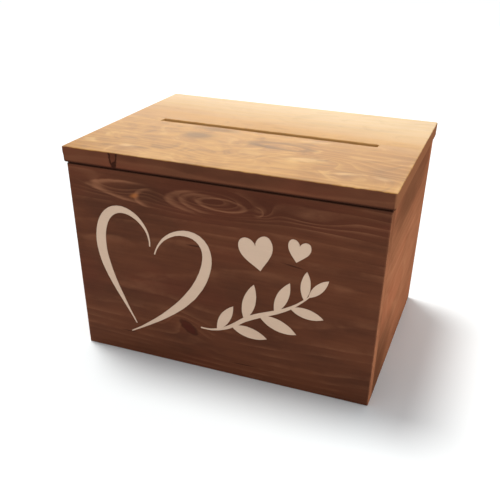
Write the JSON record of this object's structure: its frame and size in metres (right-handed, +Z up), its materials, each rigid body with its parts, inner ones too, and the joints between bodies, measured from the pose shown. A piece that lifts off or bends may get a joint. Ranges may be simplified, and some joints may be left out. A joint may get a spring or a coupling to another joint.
{
  "type": "wedding card box",
  "caption": "Stained pine card box with a hinged honey-toned lid, a long card slot across the lid, back butt hinges and a painted heart-and-leaf motif on the front.",
  "frame": {"origin": "on the table under the middle of the whole object's footprint", "axes": "+Z up, -Y towards the decorated front, +X to the right seen from the front"},
  "size_m": [0.37, 0.2858, 0.2548],
  "materials": {
    "stained_pine_face": "walnut-stained pine, satin",
    "stained_pine_side": "walnut-stained pine, satin",
    "honey_pine_lid": "honey-toned pine top with walnut-stained edges, satin",
    "plywood": "stained plywood, matte",
    "brass": "lacquered brass",
    "steel": "bright steel wire",
    "cream_paint": "thin cream paint film, matte"
  },
  "bodies": {
    "box": {"front_panel": "stained_pine_face", "back_panel": "stained_pine_face", "left_side_panel": "stained_pine_side", "right_side_panel": "stained_pine_side", "base_panel": "plywood", "left_hinge_box_leaf": "brass", "left_hinge_pin": "brass", "right_hinge_box_leaf": "brass", "right_hinge_pin": "brass", "left_hinge_box_screw_1": "brass", "left_hinge_box_screw_2": "brass", "left_hinge_box_screw_3": "brass", "right_hinge_box_screw_1": "brass", "right_hinge_box_screw_2": "brass", "right_hinge_box_screw_3": "brass", "front_left_corner_brad_1": "steel", "front_left_corner_brad_2": "steel", "front_left_corner_brad_3": "steel", "front_left_base_brad": "steel", "front_right_corner_brad_1": "steel", "front_right_corner_brad_2": "steel", "front_right_corner_brad_3": "steel", "front_right_base_brad": "steel", "back_left_corner_brad_1": "steel", "back_left_corner_brad_2": "steel", "back_left_corner_brad_3": "steel", "back_left_base_brad": "steel", "back_right_corner_brad_1": "steel", "back_right_corner_brad_2": "steel", "back_right_corner_brad_3": "steel", "back_right_base_brad": "steel", "left_wall_base_brad_1": "steel", "left_wall_base_brad_2": "steel", "right_wall_base_brad_1": "steel", "right_wall_base_brad_2": "steel", "motif_heart_left_stroke": "cream_paint", "motif_heart_right_stroke": "cream_paint", "motif_branch": "cream_paint", "motif_large_solid_heart": "cream_paint", "motif_small_solid_heart": "cream_paint"},
    "lid": {"lid_board": "honey_pine_lid", "left_hinge_lid_leaf": "brass", "right_hinge_lid_leaf": "brass", "left_hinge_lid_screw_1": "brass", "left_hinge_lid_screw_2": "brass", "left_hinge_lid_screw_3": "brass", "right_hinge_lid_screw_1": "brass", "right_hinge_lid_screw_2": "brass", "right_hinge_lid_screw_3": "brass"}
  },
  "joints": [
    {"name": "lid_hinge", "type": "hinge", "parent": "box", "child": "lid", "pos_m": [0, 0.14015, 0.2364], "axis": [-1, 0, 0], "range_deg": [0, 180]}
  ]
}
